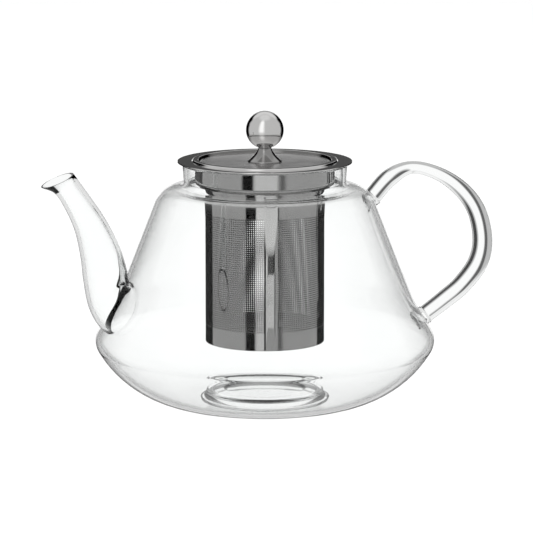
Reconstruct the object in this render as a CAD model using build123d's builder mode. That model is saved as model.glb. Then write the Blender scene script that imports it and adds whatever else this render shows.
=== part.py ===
"""Glass teapot with a lift-out steel infuser and a steel lid.

Millimetres. +Z is up and the origin is on the pot's axis, in the plane that the foot stands on.
The spout points along -X and the handle along +X.
"""
import os
from math import cos, radians, sin, sqrt

from build123d import *

# ---- Glass body: corners of the outer surface, before they are rounded ----
glass_wall = 2.1
foot_outer = 34.0            # radius of the foot ring
foot_inner = 29.0
foot_drop = 2.4              # how far the ring stands below the bowl
kick_height = 7.0            # hollow pressed up under the base
dish_radius = 22.0           # shallow round sink in the raised base
dish_depth = 0.8
bowl_corner_radius = 70.7
bowl_round = 59.0
belly_radius = 91.6
belly_height = 36.4
belly_round = 9.4
flare_radius = 79.0          # where the cone opens out towards the belly
flare_height = 57.3
flare_round = 40.0
shoulder_radius = 55.6
shoulder_height = 117.0
shoulder_round = 13.0
neck_base_radius = 42.8
neck_base_height = 119.5
neck_round = 2.5
rim_radius = 43.6
rim_height = 131.0
rim_round = 0.9

# ---- Spout ----
# Sections from inside the body to the base of the lip: centre x, centre z,
# half width in the spout's plane, half width across it, tilt in degrees.
spout_sections = [
    (-69.0, 54.0, 15.6, 17.2, 72.0),
    (-79.5, 57.3, 15.0, 16.9, 64.0),
    (-85.2, 64.0, 12.7, 14.2, 37.0),
    (-87.6, 75.7, 11.8, 12.3, 18.0),
    (-89.9, 87.0, 10.7, 10.9, 16.0),
    (-95.0, 101.5, 8.7, 8.8, 24.0),
    (-101.1, 113.0, 7.4, 7.5, 29.0),
    (-107.9, 123.3, 7.0, 7.1, 32.0),
]
mouth_section = (-112.7, 126.6, 9.1, 8.8, 22.8)
spout_wall = 1.8
lip_edge = 0.9               # wall at the lip

# ---- Handle ----
# Sections of the drawn rod, from its upper end to its lower end: centre x, centre z, radius.
# The rod is thinnest where it was pulled over the top of the bend.
handle_sections = [
    (60.3, 110.5, 4.8),
    (70.0, 120.2, 4.7),
    (82.5, 125.0, 3.4),
    (97.6, 120.9, 3.6),
    (110.8, 111.8, 4.4),
    (119.6, 99.8, 4.95),
    (123.1, 84.5, 5.35),
    (120.6, 71.5, 5.5),
    (111.5, 59.8, 5.2),
    (101.5, 52.1, 5.0),
    (90.6, 44.6, 4.7),
]
weld_radius = 7.0            # where the melted pad meets the body
weld_neck = 0.6              # how far the pad stands out around the rod
weld_depth = 9.0             # from the rod's end to inside the body

# ---- Infuser ----
sheet = 0.6
infuser_flange_radius = 44.6
collar_radius = 37.0
collar_round = 1.6
collar_depth = 10.0          # straight part, below the flange
funnel_depth = 3.4
basket_radius = 31.5
basket_bottom = 35.6
spigot_length = 4.0
base_rim_height = 5.0
base_round = 1.5             # bend between the base and its rim
spigot_round = 0.4
seam_width = 7.0
seam_thickness = 0.4
seam_angle = -101.5          # about +Z, from +X

# ---- Lid ----
lid_radius = 46.3
lip_outer = 38.4
lip_inner = 35.4
lip_rise = 1.0               # above the lid's flat ring
recess_depth = 0.6           # below the lid's flat ring
recess_radius = 34.6
lip_fall = 0.6               # slope of the lip's outer side
lip_round = 0.5
skirt_gap = 0.4              # between the lid's ring and the collar
skirt_depth = 8.0
skirt_ledge = 6.0
knob_radius = 10.0
boss_height = 7.6
boss_radius = 9.0
boss_neck_radius = 3.4
boss_edge = 0.8              # upright band around the boss's foot
boss_flare = 0.25            # rise of the boss where its flare starts
screw_radius = 2.0
screw_gap = 0.2
screw_reach = 6.0            # length of the thread in the knob
screw_head_radius = 3.8
screw_head_height = 2.4
washer_radius = 5.5
washer_thickness = 0.8

os.makedirs("parts", exist_ok=True)


def save(piece, name):
    """Label one finished piece and write it."""
    piece.part.label = name
    export_step(piece.part, f"parts/{name}.step")


def draw_ring(inner, outer, low, high, mode=Mode.ADD):
    """A rectangle of a section on the XZ plane, from one radius and height to another."""
    with Locations(((inner + outer) / 2, (low + high) / 2)):
        Rectangle(outer - inner, high - low, mode=mode)


# ---------------------------------------------------------------- glass body
neck_slope = (rim_radius - neck_base_radius) / (rim_height - neck_base_height)
overrun = 3 * glass_wall
neck_top = (rim_radius + neck_slope * overrun, rim_height + overrun)
body_corners = [
    (0, foot_drop),
    (bowl_corner_radius, foot_drop),
    (belly_radius, belly_height),
    (flare_radius, flare_height),
    (shoulder_radius, shoulder_height),
    (neck_base_radius, neck_base_height),
    neck_top,
]
body_rounds = [bowl_round, belly_round, flare_round, shoulder_round, neck_round]


def inset(corners, rounds, wall):
    """Corners and rounds of a surface that runs a wall's thickness to the left of an outline."""
    points = [Vector(*corner) for corner in corners]
    runs = [(end - start).normalized() for start, end in zip(points, points[1:])]
    lefts = [Vector(-run.Y, run.X) for run in runs]
    moved = [points[0] + lefts[0] * wall]
    moved_rounds = []
    for number, radius in enumerate(rounds):
        before, after = lefts[number], lefts[number + 1]
        moved.append(points[number + 1] + (before + after) * (wall / (1 + before.dot(after))))
        turns_left = runs[number].cross(runs[number + 1]).Z > 0
        moved_rounds.append(radius - wall if turns_left else radius + wall)
    moved.append(points[-1] + lefts[-1] * wall)
    return moved, moved_rounds


def fill_to_axis(corners, rounds):
    """Half of a round solid's section, filled from the outline to the axis."""
    bottom, top = Vector(*corners[0]), Vector(*corners[-1])
    with BuildSketch() as half:
        with BuildLine():
            FilletPolyline(*corners, radius=rounds)
            Polyline(top, (0, top.Y), bottom)
        make_face()
    return half.sketch


with BuildPart() as body_envelope:
    with BuildSketch(Plane.XZ):
        add(fill_to_axis(body_corners, body_rounds))
    revolve(axis=Axis.Z)


def spout_plane(section):
    """The plane of one spout section."""
    x, z, tilt = section[0], section[1], radians(section[4])
    return Plane((x, 0, z), x_dir=(cos(tilt), 0, sin(tilt)), z_dir=(-sin(tilt), 0, cos(tilt)))


def loft_spout(tube_inset, lip_inset):
    """The spout filled solid, each of its sections made smaller by an inset."""
    lip_root = spout_sections[-1]
    with BuildPart() as solid:
        for section in spout_sections:
            with BuildSketch(spout_plane(section)):
                Ellipse(section[2] - tube_inset, section[3] - tube_inset)
        loft()
        with BuildSketch(spout_plane(lip_root)):
            Ellipse(lip_root[2] - tube_inset, lip_root[3] - tube_inset)
        with BuildSketch(spout_plane(mouth_section)):
            Ellipse(mouth_section[2] - lip_inset, mouth_section[3] - lip_inset)
        loft()
    return solid.part


spout_bore = loft_spout(spout_wall, lip_edge)

with BuildPart() as glass_body:
    with BuildSketch(Plane.XZ):
        add(fill_to_axis(body_corners, body_rounds))
        add(fill_to_axis(*inset(body_corners, body_rounds, glass_wall)), mode=Mode.SUBTRACT)
        with Locations((0, rim_height + overrun)):
            Rectangle(4 * rim_radius, 2 * overrun, mode=Mode.SUBTRACT)
        draw_ring(0, foot_inner + glass_wall, foot_drop, kick_height + glass_wall)
        draw_ring(foot_inner, foot_outer, 0, foot_drop + glass_wall / 2)
        draw_ring(0, foot_inner, 0, kick_height, mode=Mode.SUBTRACT)
        floor = kick_height + glass_wall
        draw_ring(0, dish_radius, floor - dish_depth, floor, mode=Mode.SUBTRACT)
    revolve(axis=Axis.Z)
    rim_edges = glass_body.edges().group_by(Axis.Z)[-1]
    fillet(rim_edges, radius=rim_round)
    add(spout_bore, mode=Mode.SUBTRACT)
save(glass_body, "glass_body")

with BuildPart() as spout:
    add(loft_spout(0, 0))
    add(spout_bore, mode=Mode.SUBTRACT)
    add(body_envelope.part, mode=Mode.SUBTRACT)
save(spout, "spout")

# ---------------------------------------------------------------- handle
def handle_plane(number):
    """The plane of one handle section, square to the line between its neighbours."""
    before = handle_sections[max(0, number - 1)]
    after = handle_sections[min(len(handle_sections) - 1, number + 1)]
    x, z = handle_sections[number][:2]
    return Plane((x, 0, z), x_dir=(0, 1, 0), z_dir=(after[0] - before[0], 0, after[1] - before[1]))


with BuildPart() as handle:
    for number, section in enumerate(handle_sections):
        with BuildSketch(handle_plane(number)):
            Circle(section[2])
    loft()
save(handle, "handle")


def make_weld(end_plane, rod_radius, name):
    """The melted pad between one end of the rod and the body."""
    with BuildPart() as weld:
        with BuildSketch(end_plane):
            Circle(rod_radius + weld_neck)
        with BuildSketch(end_plane.offset(weld_depth)):
            Circle(weld_radius)
        loft()
        add(body_envelope.part, mode=Mode.SUBTRACT)
    save(weld, name)


upper_plane = handle_plane(0)
lower_plane = handle_plane(len(handle_sections) - 1)
make_weld(Plane(upper_plane.origin, z_dir=-upper_plane.z_dir), handle_sections[0][2],
          "handle_upper_weld")
make_weld(lower_plane, handle_sections[-1][2], "handle_lower_weld")

# ---------------------------------------------------------------- infuser
flange_top = rim_height + sheet
collar_bottom = rim_height - collar_depth
basket_top = collar_bottom - funnel_depth
spigot_radius = basket_radius - sheet


def turn_sheet(points, rounds):
    """A sheet-metal ring: an outline of its middle line, thickened and turned about the axis."""
    with BuildPart() as ring:
        with BuildSketch(Plane.XZ):
            with BuildLine():
                FilletPolyline(*points, radius=rounds)
            trace(line_width=sheet)
        revolve(axis=Axis.Z)
    return ring.part


half_sheet = sheet / 2
with BuildPart() as infuser_collar:
    add(turn_sheet([
        (infuser_flange_radius, rim_height + half_sheet),
        (collar_radius - half_sheet, rim_height + half_sheet),
        (collar_radius - half_sheet, collar_bottom),
        (spigot_radius - half_sheet, basket_top),
        (spigot_radius - half_sheet, basket_top - spigot_length),
    ], [collar_round, collar_round, spigot_round]))
save(infuser_collar, "infuser_collar")

with BuildPart() as infuser_basket:
    with BuildSketch(Plane.XZ):
        draw_ring(spigot_radius, basket_radius, basket_bottom, basket_top)
    revolve(axis=Axis.Z)
    add(infuser_collar.part, mode=Mode.SUBTRACT)
save(infuser_basket, "infuser_basket")

with BuildPart() as basket_base:
    add(turn_sheet([
        (0, basket_bottom + half_sheet),
        (spigot_radius - half_sheet, basket_bottom + half_sheet),
        (spigot_radius - half_sheet, basket_bottom + base_rim_height),
    ], [base_round]))
save(basket_base, "basket_base")

with BuildPart() as basket_seam:
    with BuildSketch(Plane.XY.offset(basket_bottom)):
        with PolarLocations(basket_radius, 1, start_angle=seam_angle):
            Rectangle(4 * seam_thickness, seam_width)
        Circle(basket_radius + seam_thickness, mode=Mode.INTERSECT)
        Circle(basket_radius, mode=Mode.SUBTRACT)
    extrude(amount=basket_top - basket_bottom)
    add(infuser_collar.part, mode=Mode.SUBTRACT)
save(basket_seam, "basket_seam")

# ---------------------------------------------------------------- lid
ring_middle = flange_top + half_sheet
plate_middle = ring_middle - recess_depth
plate_under = plate_middle - half_sheet
with BuildPart() as lid_pan:
    add(turn_sheet([
        (0, plate_middle),
        (recess_radius, plate_middle),
        (lip_inner, ring_middle + lip_rise),
        (lip_outer - lip_fall, ring_middle + lip_rise),
        (lip_outer, ring_middle),
        (lid_radius, ring_middle),
    ], [lip_round, lip_round, lip_round, lip_round]))
    with Locations((0, 0, plate_under)):
        Cylinder(screw_radius + screw_gap, 4 * sheet, mode=Mode.SUBTRACT)
save(lid_pan, "lid_pan")

skirt_radius = collar_radius - sheet - skirt_gap
with BuildPart() as lid_skirt:
    with BuildSketch(Plane.XZ):
        draw_ring(skirt_radius - skirt_ledge, skirt_radius, plate_under - sheet, plate_under)
        draw_ring(skirt_radius - sheet, skirt_radius, plate_under - skirt_depth, plate_under)
    revolve(axis=Axis.Z)
save(lid_skirt, "lid_skirt")

boss_bottom = plate_middle + half_sheet
boss_top = boss_bottom + boss_height
knob_middle = boss_top + sqrt(knob_radius**2 - boss_neck_radius**2)
with BuildPart() as knob_boss:
    with BuildSketch(Plane.XZ):
        with BuildLine():
            Line((0, boss_bottom), (boss_radius, boss_bottom))
            rise = Line((boss_radius, boss_bottom), (boss_radius, boss_bottom + boss_edge))
            TangentArc(rise @ 1, (boss_neck_radius, boss_top), tangent=(-1, boss_flare))
            Line((boss_neck_radius, boss_top), (0, boss_top))
            Line((0, boss_top), (0, boss_bottom))
        make_face()
    revolve(axis=Axis.Z)
    with Locations((0, 0, knob_middle)):
        Sphere(knob_radius, mode=Mode.SUBTRACT)
    with Locations((0, 0, boss_bottom)):
        Cylinder(screw_radius + screw_gap, 2 * boss_height + knob_radius, mode=Mode.SUBTRACT)
save(knob_boss, "knob_boss")

with BuildPart() as lid_knob:
    with Locations((0, 0, knob_middle)):
        Sphere(knob_radius)
    with Locations((0, 0, boss_top)):
        Cylinder(screw_radius, 2 * screw_reach, mode=Mode.SUBTRACT)
save(lid_knob, "lid_knob")

washer_under = plate_under - washer_thickness
with BuildPart() as knob_washer:
    with BuildSketch(Plane.XY.offset(washer_under)):
        Circle(washer_radius)
        Circle(screw_radius + screw_gap, mode=Mode.SUBTRACT)
    extrude(amount=washer_thickness)
save(knob_washer, "knob_washer")

with BuildPart() as knob_screw:
    with BuildSketch(Plane.XZ):
        draw_ring(0, screw_radius, washer_under, boss_top + screw_reach)
        draw_ring(0, screw_head_radius, washer_under - screw_head_height, washer_under)
    revolve(axis=Axis.Z)
    head = knob_screw.faces().sort_by(Axis.Z)[0]
    fillet(head.edges(), radius=screw_head_height / 3)
save(knob_screw, "knob_screw")
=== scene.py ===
"""Glass teapot with a lift-out steel infuser and a flat steel lid, in a white studio.

The frame is in metres, +Z up, with the origin in the middle of the foot. The spout points along -X
and the handle along +X. Sizes of the teapot are millimetres here, and MM turns them into metres.
The camera, the floor and the lamp are in metres.
"""
from math import atan2, cos, hypot, pi, radians, sin, sqrt, tan

import bmesh
import bpy
import numpy as np
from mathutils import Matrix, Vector, noise


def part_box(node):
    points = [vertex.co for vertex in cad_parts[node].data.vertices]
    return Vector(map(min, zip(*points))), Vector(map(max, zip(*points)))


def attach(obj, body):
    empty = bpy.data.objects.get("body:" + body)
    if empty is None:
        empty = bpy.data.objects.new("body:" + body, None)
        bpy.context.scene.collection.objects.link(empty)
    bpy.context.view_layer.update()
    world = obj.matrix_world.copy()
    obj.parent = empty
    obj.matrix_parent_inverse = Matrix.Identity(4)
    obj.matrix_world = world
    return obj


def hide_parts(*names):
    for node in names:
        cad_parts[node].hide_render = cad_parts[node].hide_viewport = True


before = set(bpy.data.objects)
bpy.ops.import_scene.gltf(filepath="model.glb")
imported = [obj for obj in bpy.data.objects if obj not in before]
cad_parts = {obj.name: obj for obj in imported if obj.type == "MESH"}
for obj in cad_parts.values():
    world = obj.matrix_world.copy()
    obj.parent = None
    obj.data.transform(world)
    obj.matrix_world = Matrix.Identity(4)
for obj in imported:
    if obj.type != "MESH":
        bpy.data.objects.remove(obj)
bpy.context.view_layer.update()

MM = 0.001


def top(node):
    """Height of a node's highest point, in millimetres."""
    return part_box(node)[1].z / MM


def bottom(node):
    """Height of a node's lowest point, in millimetres."""
    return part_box(node)[0].z / MM


def reach(node):
    """How far a round node on the axis reaches from it, in millimetres."""
    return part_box(node)[1].y / MM


# ---- Pot: corners of the outer surface as (radius, height), before they are rounded ----
glass_wall = 2.1
foot_outer = 34.0
foot_inner = 29.0
foot_drop = 2.4              # how far the foot ring stands below the bowl
foot_round = 1.1
foot_root_round = 0.6
kick_height = 7.0            # hollow pressed up under the base
kick_round = 1.6
dish_radius = 22.0           # shallow round sink in the raised base
dish_depth = 0.8
dish_slope = 1.6
dish_round = 1.5
floor_step = 0.8             # how far the floor's raised part slopes outwards
floor_step_round = 1.4
floor_round = 3.0
rim_height = top("glass_body")
rim_round = 0.9
rim_inside_round = 1.6
mouth_lift = 3.0             # how far the cutter for the hollow reaches past the rim
mouth_flare = 0.42           # how far it widens there, as a share of the wall
bowl_inset = 0.62            # how far the floor's corner moves in, as a share of the wall
belly_corner = (91.6, 36.4)
flare_corner = (79.0, 57.3)
shoulder_corner = (55.6, 117.0)
neck_corner = (42.8, 119.5)
rim_corner = (43.6, rim_height)
bowl_corner = (70.7, foot_drop)
bowl_rounds = [59.0, 9.4, 40.0, 13.0, 2.5]  # bowl, belly, flare, shoulder and neck
outline_step = 4.0           # longest straight stretch of the pot's outline
pot_segments = 192

# ---- Spout: centre x, centre z, half width in its plane, half width across, tilt in degrees ----
spout_sections = [
    (-69.0, 54.0, 15.6, 17.2, 72.0),
    (-79.5, 57.3, 15.0, 16.9, 64.0),
    (-85.2, 64.0, 12.7, 14.2, 37.0),
    (-87.6, 75.7, 11.8, 12.3, 18.0),
    (-89.9, 87.0, 10.7, 10.9, 16.0),
    (-95.0, 101.5, 8.7, 8.8, 24.0),
    (-101.1, 113.0, 7.4, 7.5, 29.0),
    (-107.9, 123.3, 7.0, 7.1, 32.0),
    (-112.7, 126.6, 9.1, 8.8, 22.8),
]
spout_wall = 1.8
lip_edge = 0.9               # wall at the lip
bore_past_lip = 4.0

# ---- Handle: centre x, centre z and radius of the drawn rod, from its upper end ----
rod_sections = [
    (60.3, 110.5, 4.8),
    (70.0, 120.2, 4.7),
    (82.5, 125.0, 3.4),
    (97.6, 120.9, 3.6),
    (110.8, 111.8, 4.4),
    (119.6, 99.8, 4.95),
    (123.1, 84.5, 5.35),
    (120.6, 71.5, 5.5),
    (111.5, 59.8, 5.2),
    (101.5, 52.1, 5.0),
    (90.6, 44.6, 4.7),
]
rod_edge = 0.35              # round at each cut end
rod_gap = 0.04               # between each cut end and its weld
weld_radius = 8.2            # where the melted glass meets the pot
weld_neck = 0.6              # how far it stands out around the rod
weld_depth = 12.0
weld_waist = 0.5             # how far its sides are drawn in
weld_lumps = 1.1             # how high its lumps are

# ---- Steel ----
sheet = 0.6
edge_trim = 0.2              # kept back from a sheet's outer edge for its round
collar_radius = 37.0
collar_round = 1.6
crease_round = 0.5
flange_radius = reach("infuser_collar")
flange_top = top("infuser_collar")
collar_bottom = rim_height - 10.0    # where the collar turns in towards the basket
basket_radius = reach("infuser_basket")
basket_bottom = bottom("infuser_basket")
basket_top = top("infuser_basket")
basket_sheet = 0.4
spigot_length = 4.0
base_rim = 5.0               # height of the base's turned-up wall
base_round = 1.5
base_gap = 0.05
field_bottom = basket_bottom + 9.4   # the pierced part of the basket
field_top = basket_top - 12.4
hole_pitch = 1.11
hole_radius = 0.40
seam_width = 7.0
seam_rise = 0.4
seam_angle = radians(-101.5)
lid_radius = reach("lid_pan")
lip_outer = 38.4
lip_inner = 35.4
lip_rise = 1.0
lip_fall = 0.6
recess_depth = 0.6
recess_radius = 34.6
boss_radius = reach("knob_boss")
boss_neck_radius = 3.4
boss_edge = 0.8
boss_flare = 0.7             # slope of the boss's side at its foot
boss_trim = 0.15
knob_radius = reach("lid_knob")
knob_middle = top("lid_knob") - knob_radius

# ---- View and studio ----
camera_azimuth = radians(-17.3)
camera_distance = 1.804
camera_height = 0.3915
aim_height = 0.07545
camera_lens = 233.16         # for a sensor 36 mm wide
camera_shift = 0.0031
floor_radius = 6.0
lamp_power = 50.0
lamp_size = 5.0
lamp_height = 3.2


# ---------------------------------------------------------------- outlines
def rounded(corners, rounds, turn=radians(5)):
    """Points along a run of straight lines whose inner corners are rounded."""
    corners = [Vector(corner) for corner in corners]
    points = [corners[0]]
    for corner, before, after, radius in zip(corners[1:-1], corners, corners[2:], rounds):
        back = (before - corner).normalized()
        on = (after - corner).normalized()
        half = back.angle(on) / 2
        if radius <= 0 or abs(half - pi / 2) < 1e-6:
            points.append(corner)
            continue
        middle = corner + (back + on).normalized() * (radius / sin(half))
        start = corner + back * (radius / tan(half)) - middle
        sweep = (pi - 2 * half) * (1 if back.cross(on) < 0 else -1)
        steps = max(2, int(abs(sweep) / turn) + 1)
        for step in range(steps + 1):
            angle = sweep * step / steps
            points.append(middle + Vector((
                start.x * cos(angle) - start.y * sin(angle),
                start.x * sin(angle) + start.y * cos(angle))))
    points.append(corners[-1])
    return points


def arc_between(start, direction, end, steps=16):
    """Points on the arc that leaves start along a direction and reaches end."""
    start, end, direction = Vector(start), Vector(end), Vector(direction).normalized()
    chord = end - start
    normal = Vector((-direction.y, direction.x))
    if chord.dot(normal) < 0:
        normal = -normal
    radius = chord.length_squared / (2 * chord.dot(normal))
    middle = start + normal * radius
    first = atan2(start.y - middle.y, start.x - middle.x)
    last = atan2(end.y - middle.y, end.x - middle.x)
    turn = (last - first + pi) % (2 * pi) - pi
    return [middle + radius * Vector((cos(first + turn * k / steps), sin(first + turn * k / steps)))
            for k in range(steps + 1)]


def spaced(points, longest):
    """The same run of points, with long stretches divided."""
    result = [points[0]]
    for start, end in zip(points, points[1:]):
        parts = max(1, int((end - start).length / longest))
        result += [start.lerp(end, k / parts) for k in range(1, parts + 1)]
    return result


def offset_run(points, distance):
    """A run of points moved sideways to the left by a distance."""
    moved = []
    for number, point in enumerate(points):
        before = points[max(0, number - 1)]
        after = points[min(len(points) - 1, number + 1)]
        run = (after - before).normalized()
        moved.append(point + Vector((-run.y, run.x)) * distance)
    return moved


def sheet_outline(corners, rounds, thickness):
    """The closed section of bent sheet metal, from the corners of its middle line."""
    middle = rounded(corners, rounds, radians(9))
    left = offset_run(middle, thickness / 2)
    right = offset_run(middle, -thickness / 2)
    end_run = (middle[-1] - middle[-2]).normalized() * thickness * 0.3
    start_run = (middle[0] - middle[1]).normalized() * thickness * 0.3
    outline = left + [middle[-1] + end_run] + right[::-1]
    if middle[0].x > 1e-6:
        outline.append(middle[0] + start_run)
    return [Vector((max(0.0, point.x), point.y)) for point in outline]


# ---------------------------------------------------------------- meshes
def new_object(name, vertices, faces):
    """A mesh object in the scene."""
    mesh = bpy.data.meshes.new(name)
    mesh.from_pydata([tuple(v) for v in vertices], [], faces)
    mesh.validate()
    piece = bpy.data.objects.new(name, mesh)
    bpy.context.scene.collection.objects.link(piece)
    return piece


def face_outwards(piece):
    """Merge a closed mesh's doubled points, and point its faces outwards."""
    work = bmesh.new()
    work.from_mesh(piece.data)
    bmesh.ops.remove_doubles(work, verts=work.verts, dist=1e-7)
    bmesh.ops.recalc_face_normals(work, faces=work.faces)
    work.to_mesh(piece.data)
    work.free()


def smooth(piece, angle=35):
    """Smooth shading, with hard edges where faces meet at more than an angle."""
    piece.data.polygons.foreach_set("use_smooth", [True] * len(piece.data.polygons))
    piece.data.set_sharp_from_angle(angle=radians(angle))


def lathe(name, outline, segments=160):
    """A closed outline of (radius, height) turned about the axis. Points on the axis become poles."""
    vertices, rings = [], []
    for point in outline:
        if point[0] < 1e-6:
            rings.append([len(vertices)] * segments)
            vertices.append((0, 0, point[1] * MM))
            continue
        rings.append(range(len(vertices), len(vertices) + segments))
        for k in range(segments):
            angle = 2 * pi * k / segments
            vertices.append((point[0] * cos(angle) * MM, point[0] * sin(angle) * MM, point[1] * MM))
    faces = []
    for lower, upper in zip(rings, rings[1:] + rings[:1]):
        for k in range(segments):
            after = (k + 1) % segments
            loop = [lower[k], lower[after], upper[after], upper[k]]
            loop = [v for place, v in enumerate(loop) if v not in loop[:place]]
            if len(loop) > 2:
                faces.append(loop)
    piece = new_object(name, vertices, faces)
    face_outwards(piece)
    return piece


def tube(name, rings):
    """A closed skin over rings of equal length, with a flat cap at each end."""
    count = len(rings[0])
    vertices = [point for ring in rings for point in ring]
    faces = []
    for level in range(len(rings) - 1):
        for k in range(count):
            after = (k + 1) % count
            faces.append([level * count + k, level * count + after,
                          (level + 1) * count + after, (level + 1) * count + k])
    faces.append(list(range(count))[::-1])
    faces.append([(len(rings) - 1) * count + k for k in range(count)])
    piece = new_object(name, vertices, faces)
    face_outwards(piece)
    return piece


def combine(piece, tool, operation):
    """Join a tool to a piece, or cut it from the piece, and drop the tool."""
    step = piece.modifiers.new(operation, "BOOLEAN")
    step.operation = operation
    step.solver = "EXACT"
    step.object = tool
    depsgraph = bpy.context.evaluated_depsgraph_get()
    result = bpy.data.meshes.new_from_object(piece.evaluated_get(depsgraph))
    piece.modifiers.clear()
    piece.data = result
    bpy.data.objects.remove(tool)


# ---------------------------------------------------------------- glass pieces
def outer_outline():
    """The pot's outer surface, closed across the rim, with the hollow foot."""
    outline = rounded(
        [(0, kick_height), (foot_inner, kick_height), (foot_inner, 0), (foot_outer, 0),
         (foot_outer, foot_drop), bowl_corner, belly_corner, flare_corner, shoulder_corner,
         neck_corner, rim_corner, (0, rim_height)],
        [kick_round, foot_round, foot_round, foot_root_round] + bowl_rounds + [rim_round],
        radians(4))
    return spaced(outline, outline_step)


def inner_outline():
    """The pot's hollow, open upwards past the rim."""
    corners = [Vector(c) for c in (bowl_corner, belly_corner, flare_corner, shoulder_corner,
                                   neck_corner, rim_corner)]
    runs = [(b - a).normalized() for a, b in zip(corners, corners[1:])]
    moved = []
    for place in range(1, len(corners) - 1):
        before = Vector((-runs[place - 1].y, runs[place - 1].x))
        after = Vector((-runs[place].y, runs[place].x))
        moved.append(corners[place] + (before + after) * (glass_wall / (1 + before.dot(after))))
    last = Vector((-runs[-1].y, runs[-1].x))
    rim_inside = corners[-1] + last * glass_wall
    floor = foot_drop + glass_wall
    raised = kick_height + glass_wall
    raised_edge = foot_inner + glass_wall
    rounds = []
    for place, radius in enumerate(bowl_rounds):
        turn = 1.0 if place == 0 else runs[place - 1].cross(runs[place])
        rounds.append(radius - glass_wall if turn > 0 else radius + glass_wall)
    bowl_inside = Vector((bowl_corner[0] - glass_wall * bowl_inset, floor))
    mouth_edge = rim_inside + Vector((glass_wall * mouth_flare, mouth_lift))
    points = rounded(
        [(0, raised - dish_depth), (dish_radius - dish_slope, raised - dish_depth),
         (dish_radius, raised), (raised_edge, raised), (raised_edge + floor_step, floor),
         bowl_inside] + moved
        + [rim_inside - runs[-1] * rim_round, mouth_edge, (0, rim_height + mouth_lift)],
        [dish_round, dish_round, floor_step_round, floor_round] + rounds
        + [rim_inside_round, 0.0],
        radians(4))
    return spaced(points, outline_step)


def spout_rings(tube_inset, lip_inset, count=72, per_section=10):
    """Rings along the spout, on a smooth curve through its sections."""
    rings = []
    rows = curve_through(spout_sections, per_section)
    lip_start = len(rows) - 1 - per_section
    for number, (x, z, along, across, tilt) in enumerate(rows):
        inset = tube_inset + (lip_inset - tube_inset) * max(0, number - lip_start) / per_section
        tilt = radians(tilt)
        ring = []
        for k in range(count):
            angle = 2 * pi * k / count
            u = (along - inset) * cos(angle)
            v = (across - inset) * sin(angle)
            ring.append(Vector((x + u * cos(tilt), v, z + u * sin(tilt))) * MM)
        rings.append(ring)
    return rings


def longer(rings, distance):
    """The same rings, carried on past the last one."""
    middle = sum(rings[-1], Vector()) / len(rings[-1])
    before = sum(rings[-3], Vector()) / len(rings[-3])
    push = (middle - before).normalized() * distance * MM
    return rings + [[point + push for point in rings[-1]]]


def curve_through(sections, per_section):
    """Rows on a smooth curve through the rows of a table."""
    table = np.array(sections)
    last = len(table) - 1
    rows = []
    for step in range(last * per_section + 1):
        near = min(step // per_section, last - 1)
        part = step / per_section - near
        p0, p1, p2, p3 = (table[min(max(near + k, 0), last)] for k in (-1, 0, 1, 2))
        rows.append(0.5 * (2 * p1 + (p2 - p0) * part + (2 * p0 - 5 * p1 + 4 * p2 - p3) * part**2
                           + (3 * p1 - p0 - 3 * p2 + p3) * part**3))
    return rows


def make_handle(count=64):
    """The drawn rod, with a small round at each cut end."""
    rows = curve_through(rod_sections, 12)
    points = [Vector(row[:2]) for row in rows]
    runs = [(points[min(k + 1, len(points) - 1)] - points[max(k - 1, 0)]).normalized()
            for k in range(len(points))]
    ends = [(rod_edge * share, rod_edge * (1 - sqrt(1 - (1 - share)**2)))
            for share in (0.0, 0.15, 0.4, 0.7, 1.0)]
    first = [(points[0] + runs[0] * (rod_gap + away), runs[0], rows[0][2] - less)
             for away, less in ends]
    last = [(points[-1] - runs[-1] * (rod_gap + away), runs[-1], rows[-1][2] - less)
            for away, less in reversed(ends)]
    stations = first + [(points[k], runs[k], rows[k][2]) for k in range(1, len(points) - 1)] + last
    rings = []
    for point, run, radius in stations:
        side = Vector((-run.y, run.x))
        turns = [2 * pi * k / count for k in range(count)]
        rings.append([Vector((point.x + side.x * radius * cos(turn), radius * sin(turn),
                              point.y + side.y * radius * cos(turn))) * MM for turn in turns])
    piece = tube("handle_rod", rings)
    smooth(piece, 40)
    return piece


def make_weld(end, direction, rod_radius, seed):
    """A lump of melted glass between one end of the rod and the pot."""
    direction = Vector(direction).normalized()
    side = Vector((-direction.y, direction.x))
    rings = []
    levels = 14
    for level in range(levels + 1):
        share = level / levels
        along = end + direction * weld_depth * share
        waist = sin(pi * min(1.0, share * 1.6)) * weld_waist
        neck = rod_radius + weld_neck
        radius = neck + (weld_radius - neck) * share**1.5 - waist
        ring = []
        for k in range(48):
            angle = 2 * pi * k / 48
            lump = noise.noise(Vector((cos(angle) * 1.9, sin(angle) * 1.9, share * 3.0 + seed)))
            size = radius + weld_lumps * lump * min(1.0, share * 4)
            ring.append(Vector((along.x + side.x * size * cos(angle), size * sin(angle),
                                along.y + side.y * size * cos(angle))) * MM)
        rings.append(ring)
    return tube("weld", rings)


def make_pot():
    """The pot with its spout and the two welds as one piece of glass."""
    pot = lathe("glass_pot", outer_outline(), pot_segments)
    combine(pot, tube("spout_skin", spout_rings(0, 0)), "UNION")
    for end, beside, seed in ((0, 1, 1.7), (-1, -2, 5.3)):
        here, there = Vector(rod_sections[end][:2]), Vector(rod_sections[beside][:2])
        combine(pot, make_weld(here, here - there, rod_sections[end][2], seed), "UNION")
    combine(pot, lathe("hollow", inner_outline(), pot_segments), "DIFFERENCE")
    bore = longer(spout_rings(spout_wall, lip_edge), bore_past_lip)
    combine(pot, tube("bore", bore), "DIFFERENCE")
    face_outwards(pot)
    smooth(pot, 38)
    return pot


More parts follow.
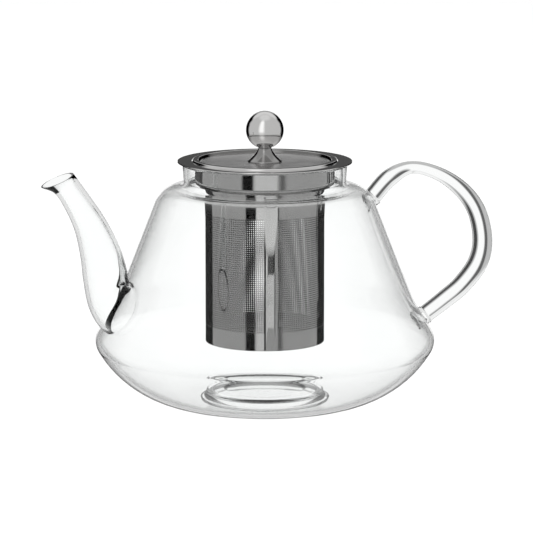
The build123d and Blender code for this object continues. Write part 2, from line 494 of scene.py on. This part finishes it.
# ---------------------------------------------------------------- steel pieces
def make_collar():
    """The funnel with its flange, which hangs in the pot's neck."""
    half = sheet / 2
    spigot = basket_radius - basket_sheet - half
    outline = sheet_outline(
        [(flange_radius - edge_trim, rim_height + half), (collar_radius - half, rim_height + half),
         (collar_radius - half, collar_bottom), (spigot, basket_top),
         (spigot, basket_top - spigot_length)],
        [collar_round, collar_round, crease_round], sheet)
    piece = lathe("collar_shell", outline, 192)
    smooth(piece)
    return piece


def plain_band(name, low, high):
    """A plain ring of the basket's sheet with softened edges."""
    edge = 0.1
    inner, outer = basket_radius - basket_sheet, basket_radius
    piece = lathe(name, [(inner, low), (outer - edge, low), (outer, low + edge),
                         (outer, high - edge), (outer - edge, high), (inner, high)], 192)
    smooth(piece)
    return piece


def pierced_points(radius, low, step_z, rows, columns):
    """One skin of the pierced ring: the corners of its cells, then six points around each hole."""
    points = []

    def add(angle, height):
        points.append((radius * cos(angle) * MM, radius * sin(angle) * MM, height * MM))

    for row in range(rows + 1):
        for column in range(columns):
            add(2 * pi * column / columns, low + row * step_z)
    hole = [(hole_radius * cos(pi / 3 * k), hole_radius * sin(pi / 3 * k)) for k in range(6)]
    for row in range(rows):
        for column in range(columns):
            for across, up in hole:
                add(2 * pi * (column + 0.5) / columns + across / basket_radius,
                    low + (row + 0.5) * step_z + up)
    return points


def pierced_skin(first, rows, columns):
    """The faces of one skin, which leave a six-sided hole in every cell."""
    faces = []
    holes = first + (rows + 1) * columns
    for row in range(rows):
        for column in range(columns):
            a = first + row * columns + column
            b = first + row * columns + (column + 1) % columns
            c, d = b + columns, a + columns
            h = [holes + (row * columns + column) * 6 + k for k in range(6)]
            faces += [(a, b, h[5], h[4]), (b, h[0], h[5]), (b, c, h[0]), (c, h[1], h[0]),
                      (c, d, h[2], h[1]), (d, h[3], h[2]), (d, a, h[3]), (a, h[4], h[3])]
    return faces


def perforated_ring(name, low, high):
    """A ring of the basket with a square grid of real holes through it.

    Returns the piece and the number of faces on its outside, which come first.
    """
    columns = int(2 * pi * basket_radius / hole_pitch)
    rows = int(round((high - low) / hole_pitch))
    step_z = (high - low) / rows
    vertices = []
    for radius in (basket_radius, basket_radius - basket_sheet):
        vertices += pierced_points(radius, low, step_z, rows, columns)
    skin = len(vertices) // 2
    faces = pierced_skin(0, rows, columns)
    outside = len(faces)
    faces += [face[::-1] for face in pierced_skin(skin, rows, columns)]
    for cell in range(rows * columns):
        first = (rows + 1) * columns + cell * 6
        for k in range(6):
            after = (k + 1) % 6
            faces.append((first + k, first + after, skin + first + after, skin + first + k))
    for column in range(columns):
        after = (column + 1) % columns
        faces.append((after, column, skin + column, skin + after))
        last = rows * columns
        faces.append((last + column, last + after, skin + last + after, skin + last + column))
    piece = new_object(name, vertices, faces)
    smooth(piece, 30)
    return piece, outside


def make_seam():
    """The lap strip where the basket's sheet is joined, a shallow curved strip."""
    half = seam_width / 2 / basket_radius
    across = 10
    levels = [basket_bottom + 0.3, basket_bottom + 0.6, basket_top - 3.4, basket_top - 3.1]
    rings = []
    for level in levels:
        lift = seam_rise if level not in (levels[0], levels[-1]) else seam_rise - 0.15
        outer = [(basket_radius + lift * min(1.0, 4 * min(k, across - k) / across + 0.25),
                  seam_angle - half + 2 * half * k / across) for k in range(across + 1)]
        inner = [(basket_radius - 0.1, angle) for _, angle in reversed(outer)]
        rings.append([Vector((radius * cos(angle), radius * sin(angle), level)) * MM
                      for radius, angle in outer + inner])
    piece = tube("lap_seam", rings)
    smooth(piece, 40)
    return piece


def make_base():
    """The pressed cup that closes the basket."""
    half = sheet / 2
    radius = basket_radius - basket_sheet - half - base_gap
    outline = sheet_outline([(0, basket_bottom + half), (radius, basket_bottom + half),
                             (radius, basket_bottom + base_rim)], [base_round], sheet)
    piece = lathe("base_cup", outline)
    smooth(piece)
    return piece


def make_lid():
    """The lid's pan: a flat ring, a raised lip and a recessed plate."""
    ring = flange_top + sheet / 2
    plate = ring - recess_depth
    outline = sheet_outline(
        [(0, plate), (recess_radius, plate), (lip_inner, ring + lip_rise),
         (lip_outer - lip_fall, ring + lip_rise), (lip_outer, ring), (lid_radius - edge_trim, ring)],
        [crease_round] * 4, sheet)
    piece = lathe("lid_plate", outline, 224)
    smooth(piece, 50)
    return piece


def make_boss():
    """The flared spacer between the lid and the knob."""
    low, high = bottom("knob_boss"), top("knob_boss")
    foot = [(0, low), (boss_radius - boss_trim, low), (boss_radius, low + boss_trim),
            (boss_radius, low + boss_edge - boss_trim)]
    flare = arc_between((boss_radius - 0.1, low + boss_edge), (-1, boss_flare),
                        (boss_neck_radius, high - boss_trim), 24)
    outline = foot + flare + [(boss_neck_radius - 0.5, high), (0, high)]
    piece = lathe("boss_flare", outline, 128)
    smooth(piece, 40)
    return piece


def make_knob():
    """The ball. Its outline is turned about the axis, from its lowest point to its highest."""
    count = 72
    outline = [(knob_radius * sin(pi * k / count), knob_middle - knob_radius * cos(pi * k / count))
               for k in range(count + 1)]
    outline[0] = (0, outline[0][1])
    outline[-1] = (0, outline[-1][1])
    piece = lathe("knob_ball", outline, 128)
    smooth(piece, 60)
    return piece


# ---------------------------------------------------------------- materials
class Nodes:
    """Short names for the shader nodes used here."""

    def __init__(self, tree):
        self.tree = tree
        tree.nodes.clear()

    def add(self, kind, **settings):
        node = self.tree.nodes.new(kind)
        for key, value in settings.items():
            setattr(node, key, value)
        return node

    def put(self, socket, value):
        if isinstance(value, bpy.types.NodeSocket):
            self.tree.links.new(value, socket)
        else:
            socket.default_value = value

    def math(self, operation, *values, clamp=False):
        node = self.add("ShaderNodeMath", operation=operation, use_clamp=clamp)
        for socket, value in zip(node.inputs, values):
            self.put(socket, value)
        return node.outputs[0]

    def noise(self, vector, scale, detail=3.0, roughness=0.5):
        node = self.add("ShaderNodeTexNoise")
        self.put(node.inputs["Vector"], vector)
        node.inputs["Scale"].default_value = scale
        node.inputs["Detail"].default_value = detail
        node.inputs["Roughness"].default_value = roughness
        return node.outputs["Fac"]

    def stretch(self, vector, scale):
        node = self.add("ShaderNodeMapping")
        self.put(node.inputs["Vector"], vector)
        node.inputs["Scale"].default_value = scale
        return node.outputs["Vector"]

    def span(self, value, low, high, from_low=0.0, from_high=1.0):
        node = self.add("ShaderNodeMapRange")
        self.put(node.inputs["Value"], value)
        node.inputs["From Min"].default_value = from_low
        node.inputs["From Max"].default_value = from_high
        node.inputs["To Min"].default_value = low
        node.inputs["To Max"].default_value = high
        return node.outputs["Result"]

    def colours(self, value, stops):
        node = self.add("ShaderNodeValToRGB")
        self.put(node.inputs["Fac"], value)
        ramp = node.color_ramp
        while len(ramp.elements) < len(stops):
            ramp.elements.new(0.5)
        for element, (place, colour) in zip(ramp.elements, stops):
            element.position = place
            element.color = (*colour, 1)
        return node.outputs["Color"]

    def bump(self, height, strength, distance):
        node = self.add("ShaderNodeBump")
        self.put(node.inputs["Height"], height)
        node.inputs["Strength"].default_value = strength
        node.inputs["Distance"].default_value = distance
        return node.outputs["Normal"]


def new_material(name):
    """A material with its nodes, its shader and the place on the object that drives them."""
    material = bpy.data.materials.new(name)
    material.use_nodes = True
    nodes = Nodes(material.node_tree)
    shader = nodes.add("ShaderNodeBsdfPrincipled")
    output = nodes.add("ShaderNodeOutputMaterial")
    material.node_tree.links.new(shader.outputs["BSDF"], output.inputs["Surface"])
    place = nodes.add("ShaderNodeTexCoord").outputs["Object"]
    return material, nodes, shader, place


def make_glass(name, waviness):
    """Clear borosilicate: faint waves from blowing, and a trace of haze from handling."""
    material, nodes, shader, place = new_material(name)
    shader.inputs["Transmission Weight"].default_value = 1.0
    shader.inputs["IOR"].default_value = 1.47
    # Painted shade: the grey specular tint dims the glass's reflections below those of clear glass.
    shader.inputs["Specular Tint"].default_value = (0.15, 0.15, 0.15, 1.0)
    waves = nodes.noise(nodes.stretch(place, (1.0, 1.0, 0.45)), 38.0, 2.0, 0.4)
    haze = nodes.noise(place, 120.0, 4.0, 0.6)
    nodes.put(shader.inputs["Roughness"], nodes.span(haze, 0.0, 0.02, 0.5, 0.8))
    nodes.put(shader.inputs["Base Color"], nodes.colours(
        waves, [(0.35, (0.956, 0.964, 0.962)), (0.65, (0.972, 0.978, 0.976))]))
    nodes.put(shader.inputs["Normal"], nodes.bump(waves, waviness, 0.0006))
    return material


def make_steel(name, grain, low, high, tone, scratch, turned=False):
    """Stainless steel. grain stretches the brushing; low and high are the roughness range.

    Turned steel has its lines in rings about the axis instead.
    """
    material, nodes, shader, place = new_material(name)
    shader.inputs["Metallic"].default_value = 1.0
    if turned:
        apart = nodes.add("ShaderNodeSeparateXYZ")
        nodes.put(apart.inputs[0], place)
        radius = nodes.math("SQRT", nodes.math(
            "ADD", nodes.math("MULTIPLY", apart.outputs[0], apart.outputs[0]),
            nodes.math("MULTIPLY", apart.outputs[1], apart.outputs[1])))
        joined = nodes.add("ShaderNodeCombineXYZ")
        nodes.put(joined.inputs[0], radius)
        nodes.put(joined.inputs[2], apart.outputs[2])
        lines = nodes.noise(joined.outputs[0], 2600.0, 4.0, 0.7)
    else:
        lines = nodes.noise(nodes.stretch(place, grain), 900.0, 4.0, 0.7)
    cloud = nodes.noise(place, 60.0, 3.0, 0.55)
    nodes.put(shader.inputs["Roughness"], nodes.math(
        "ADD", nodes.span(cloud, low, high, 0.3, 0.7), nodes.span(lines, 0.0, 0.03)))
    nodes.put(shader.inputs["Base Color"], nodes.colours(
        cloud, [(0.3, tuple(0.94 * t for t in tone)), (0.7, tone)]))
    nodes.put(shader.inputs["Normal"], nodes.bump(lines, scratch, 0.00002))
    return material


# ---------------------------------------------------------------- studio
# Each card: azimuth from the camera's side (to its right is positive), half width, lowest,
# highest, brightness, softness sideways, softness up; degrees. A later card covers an earlier one.
# The cards were placed for the main view, one set for each kind of ray.
paper_light = 0.9            # the plain studio around the cards
edge_light = 0.8             # what the edges of glass walls show
rod_surround = 0.5           # what solid glass shows between its cards
open_cards = [
    (180, 66, -25, 14, 0.09, 5.0, 2.0),
    (180, 66, 14, 34, 0.5, 5.0, 3.0),
    (142, 20, -25, 34, 0.0, 3.0, 5.0),
    (-142, 20, -25, 34, 0.0, 3.0, 5.0),
    (171, 6, -9, 4, 1.2, 2.0, 1.5),
    (-171, 6, -9, 4, 1.2, 2.0, 1.5),
    (180, 60, 34, 62, 0.95, 10.0, 5.0),
    (0, 180, 66, 95, 0.95, 5.0, 8.0),
    (-20, 15, -13, 62, 1.5, 8.0, 10.0),
]
infuser_cards = [
    (180, 58, -90, -1, 0.01, 1.5, 1.0),
    (-27, 10, -9.2, -2, 0.0, 1.0, 0.3),
    (-8.5, 7.5, -9.2, -2, 0.95, 1.0, 0.3),
    (13, 13, -9.2, -2, 0.13, 1.5, 0.3),
    (21, 6, -9.2, -2, 0.05, 1.5, 0.3),
    (-28, 9.5, -30, -9.2, 0.0, 2.5, 0.3),
    (2, 19, -30, -9.2, 0.78, 3.0, 0.3),
    (29, 5, -30, -9.2, 0.16, 4.0, 0.3),
]
lens_cards = [
    (0, 180, 14, 95, 0.95, 6.0, 6.0),
    (180, 19, -30, 14, 1.0, 2.0, 3.0),
    (-168, 7, -40, 8, 0.12, 2.5, 3.0),
    (143, 12, -45, 8, 0.05, 2.5, 4.0),
]


class Studio:
    """Light by direction, as white and black cards around the table would give it."""

    def __init__(self, nodes):
        self.nodes = nodes
        place = nodes.add("ShaderNodeTexCoord").outputs["Generated"]
        apart = nodes.add("ShaderNodeSeparateXYZ")
        nodes.put(apart.inputs[0], place)
        x, y, z = apart.outputs
        toward = nodes.math("ADD", nodes.math("MULTIPLY", x, sin(camera_azimuth)),
                            nodes.math("MULTIPLY", y, -cos(camera_azimuth)))
        right = nodes.math("ADD", nodes.math("MULTIPLY", x, cos(camera_azimuth)),
                           nodes.math("MULTIPLY", y, sin(camera_azimuth)))
        self.around = nodes.math("MULTIPLY", nodes.math("ARCTAN2", right, toward), 180 / pi)
        self.height = nodes.math("MULTIPLY", nodes.math("ARCSINE", z), 180 / pi)

    def window(self, value, centre, half, soft):
        """One inside a range of angles, nought outside it."""
        math = self.nodes.math
        away = math("ABSOLUTE", math("WRAP", math("SUBTRACT", value, centre), 180.0, -180.0))
        return math("DIVIDE", math("SUBTRACT", half + soft, away), 2 * soft, clamp=True)

    def cards(self, light, cards):
        math = self.nodes.math
        for azimuth, half_width, low, high, brightness, soft, soft_up in cards:
            weight = math("MULTIPLY", self.window(self.around, azimuth, half_width, soft),
                          self.window(self.height, (low + high) / 2, (high - low) / 2, soft_up))
            kept = math("MULTIPLY", light, math("SUBTRACT", 1.0, weight))
            light = math("ADD", kept, math("MULTIPLY", weight, brightness))
        return light


def ray_kinds(nodes):
    """How light reached this point, each one or nought: off a bare surface, off a surface inside
    one wall of glass, off one behind glass, straight through one piece of glass, off any surface,
    or off a dull one."""
    path = nodes.add("ShaderNodeLightPath")
    glossy, passed = path.outputs["Glossy Depth"], path.outputs["Transmission Depth"]
    mirrored = nodes.math("GREATER_THAN", glossy, 0.5)
    entered = nodes.math("GREATER_THAN", passed, 0.5)
    crossed = nodes.math("GREATER_THAN", passed, 2.5)
    once = nodes.math("SUBTRACT", entered, crossed)
    return {
        "open": nodes.math("MULTIPLY", mirrored, nodes.math("SUBTRACT", 1.0, entered)),
        "edge": nodes.math("MULTIPLY", mirrored, once),
        "infuser": nodes.math("MULTIPLY", mirrored, crossed),
        "lens": nodes.math("MULTIPLY", nodes.math("SUBTRACT", 1.0, mirrored), once),
        "mirrored": mirrored,
        "floor": nodes.math("GREATER_THAN", path.outputs["Diffuse Depth"], 0.5),
    }


def choose(nodes, share, first, second):
    """second where share is one, first where it is nought."""
    return nodes.math("ADD", nodes.math("MULTIPLY", first, nodes.math("SUBTRACT", 1.0, share)),
                      nodes.math("MULTIPLY", second, share))


def make_world():
    """A white studio. Mirrors show its cards, and solid glass bends light round to them."""
    world = bpy.data.worlds.new("studio")
    bpy.context.scene.world = world
    world.use_nodes = True
    nodes = Nodes(world.node_tree)
    studio = Studio(nodes)
    kinds = ray_kinds(nodes)
    light = choose(nodes, kinds["lens"], paper_light, studio.cards(rod_surround, lens_cards))
    light = choose(nodes, kinds["edge"], light, edge_light)
    walls = nodes.span(studio.height, 0.33, 0.74, -32.0, -28.0)
    light = choose(nodes, kinds["open"], light, studio.cards(walls, open_cards))
    walls = nodes.span(studio.height, 0.46, 0.9, -1.5, 1.5)
    light = choose(nodes, kinds["infuser"], light, studio.cards(walls, infuser_cards))
    light = choose(nodes, kinds["floor"], light, paper_light)
    background = nodes.add("ShaderNodeBackground")
    nodes.put(background.inputs["Color"], light)
    background.inputs["Strength"].default_value = 1.0
    output = nodes.add("ShaderNodeOutputWorld")
    world.node_tree.links.new(background.outputs[0], output.inputs["Surface"])


def make_floor():
    """A plain pale floor. Mirrors and solid glass show the studio's cards instead of it."""
    count = 96
    vertices = [(floor_radius * cos(2 * pi * k / count), floor_radius * sin(2 * pi * k / count), 0)
                for k in range(count)]
    floor = new_object("floor", vertices, [list(range(count))])
    material, nodes, shader, place = new_material("floor_paper")
    fibre = nodes.noise(place, 40.0, 3.0, 0.5)
    nodes.put(shader.inputs["Base Color"], nodes.colours(
        fibre, [(0.3, (0.90, 0.90, 0.90)), (0.7, (0.915, 0.915, 0.915))]))
    shader.inputs["Roughness"].default_value = 0.9
    shader.inputs["Specular IOR Level"].default_value = 0.0
    clear = nodes.add("ShaderNodeBsdfTransparent")
    either = nodes.add("ShaderNodeMixShader")
    kinds = ray_kinds(nodes)
    nodes.put(either.inputs[0], nodes.math("MAXIMUM", kinds["mirrored"], kinds["lens"]))
    nodes.put(either.inputs[1], shader.outputs["BSDF"])
    nodes.put(either.inputs[2], clear.outputs[0])
    output = [node for node in material.node_tree.nodes if node.type == "OUTPUT_MATERIAL"][0]
    nodes.put(output.inputs["Surface"], either.outputs[0])
    floor.data.materials.append(material)


def make_lights():
    """One very large soft light overhead, which only lights the paper."""
    light = bpy.data.lights.new("overhead", "AREA")
    light.shape = "DISK"
    light.size = lamp_size
    light.energy = lamp_power
    lamp = bpy.data.objects.new("overhead", light)
    lamp.location = (0, 0, lamp_height)
    lamp.visible_glossy = False
    lamp.visible_transmission = False
    bpy.context.scene.collection.objects.link(lamp)


def make_camera():
    """A long lens in front of the pot, a little to the spout's side and above the lid."""
    camera = bpy.data.cameras.new("camera")
    camera.lens = camera_lens
    camera.sensor_width = 36
    camera.shift_x = camera_shift
    camera.clip_start = 0.1
    camera.clip_end = 50
    holder = bpy.data.objects.new("camera", camera)
    holder.location = (sin(camera_azimuth) * camera_distance,
                       -cos(camera_azimuth) * camera_distance, camera_height)
    look = Vector((0, 0, aim_height)) - holder.location
    holder.rotation_euler = look.to_track_quat("-Z", "Y").to_euler()
    bpy.context.scene.collection.objects.link(holder)
    bpy.context.scene.camera = holder


# ---------------------------------------------------------------- assembly
def place(piece, material, body, slot, *nodes):
    """Finish one piece: its material, its body and the nodes it stands for. Its slot argument is not
    used.

    It leaves no shadow on the paper, in line with the plain white ground.
    """
    piece.data.materials.clear()
    piece.data.materials.append(material)
    piece.visible_shadow = False
    piece.visible_diffuse = False
    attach(piece, body)
    if nodes:
        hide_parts(*nodes)


def dress(node, material):
    """Give a carried-over node its material."""
    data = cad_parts[node].data
    data.materials.clear()
    data.materials.append(material)


def finish_recess(lid):
    """Give the lid's plate its ground finish, and paint the walls that face the axis darker, as
    painted shade.
    """
    lid.data.materials.append(plate_steel)
    lid.data.materials.append(painted_shade_steel)
    for face in lid.data.polygons:
        away = hypot(face.center.x, face.center.y)
        inwards = -(face.normal.x * face.center.x + face.normal.y * face.center.y)
        if away < (recess_radius - 0.5) * MM:
            face.material_index = 1
        # walls facing the axis take the painted shade
        elif inwards > 0.5 * away:
            face.material_index = 2


steel_tone = (0.63, 0.625, 0.62)
satin_tone = (0.60, 0.595, 0.59)
pot_glass = make_glass("blown_glass", 0.05)
rod_glass = make_glass("drawn_glass", 0.03)
turned_steel = make_steel("turned_steel", (1, 1, 1), 0.02, 0.05, steel_tone, 0.05, turned=True)
plate_steel = make_steel("plate_steel", (1, 1, 1), 0.2, 0.26, (0.72, 0.715, 0.71), 0.05, turned=True)
# Painted reflection: the boss's dark tone stands in for a darker reflection on its flare, not a
# darker steel.
dark_painted_boss_steel = make_steel("dark_painted_boss_steel", (1, 1, 1), 0.02, 0.05, (0.3, 0.297, 0.294), 0.04, turned=True)
# Painted shade: this dark tone on the walls of the lid's recess stands in for shade and dark
# reflection, not a darker steel.
painted_shade_steel = make_steel("painted_shade_steel", (1, 1, 1), 0.05, 0.1, (0.2, 0.198, 0.195), 0.05)
spun_steel = make_steel("spun_steel", (0.05, 0.05, 1), 0.02, 0.05, steel_tone, 0.05)
ball_steel = make_steel("ball_steel", (1, 1, 1), 0.02, 0.05, (0.66, 0.655, 0.65), 0.02)
rolled_steel = make_steel("rolled_steel", (1, 1, 0.06), 0.02, 0.05, satin_tone, 0.05)
pierced_steel = make_steel("pierced_steel", (1, 1, 0.06), 0.03, 0.07, satin_tone, 0.06)
# Painted shade: the dark tone on the pierced basket's inside stands in for the shade within it.
painted_shade_inside_steel = make_steel("painted_shade_inside_steel", (1, 1, 0.06), 0.3, 0.4, (0.16, 0.158, 0.155), 0.1)
hidden_steel = make_steel("hidden_steel", (1, 1, 0.2), 0.2, 0.35, satin_tone, 0.2)

pot, handle = make_pot(), make_handle()
place(pot, pot_glass, "teapot", "glass",
      "glass_body", "spout", "handle_upper_weld", "handle_lower_weld")
place(handle, rod_glass, "teapot", "glass", "handle")
place(make_collar(), spun_steel, "infuser", "polished_steel", "infuser_collar")
middle = (field_bottom + field_top) / 2
for name, low, high in (("basket_field_lower", field_bottom, middle),
                        ("basket_field_upper", middle, field_top)):
    field, outside = perforated_ring(name, low, high)
    place(field, pierced_steel, "infuser", "perforated_steel", "infuser_basket")
    # the inside faces take the painted shade
    field.data.materials.append(painted_shade_inside_steel)
    inner = [0 if k < outside else 1 for k in range(len(field.data.polygons))]
    field.data.polygons.foreach_set("material_index", inner)
place(plain_band("basket_band_lower", basket_bottom, field_bottom), rolled_steel,
      "infuser", "perforated_steel", "infuser_basket")
place(plain_band("basket_band_upper", field_top, basket_top), rolled_steel,
      "infuser", "perforated_steel", "infuser_basket")
place(make_seam(), rolled_steel, "infuser", "perforated_steel", "basket_seam")
place(make_base(), rolled_steel, "infuser", "perforated_steel", "basket_base")
lid = make_lid()
place(lid, turned_steel, "lid", "polished_steel", "lid_pan")
finish_recess(lid)
place(make_boss(), dark_painted_boss_steel, "lid", "polished_steel", "knob_boss")
place(make_knob(), ball_steel, "lid", "polished_steel", "lid_knob")
for node in ("lid_skirt", "knob_washer", "knob_screw"):
    dress(node, hidden_steel)

make_floor()
make_world()
make_lights()
make_camera()
bpy.context.scene.view_settings.view_transform = "Standard"
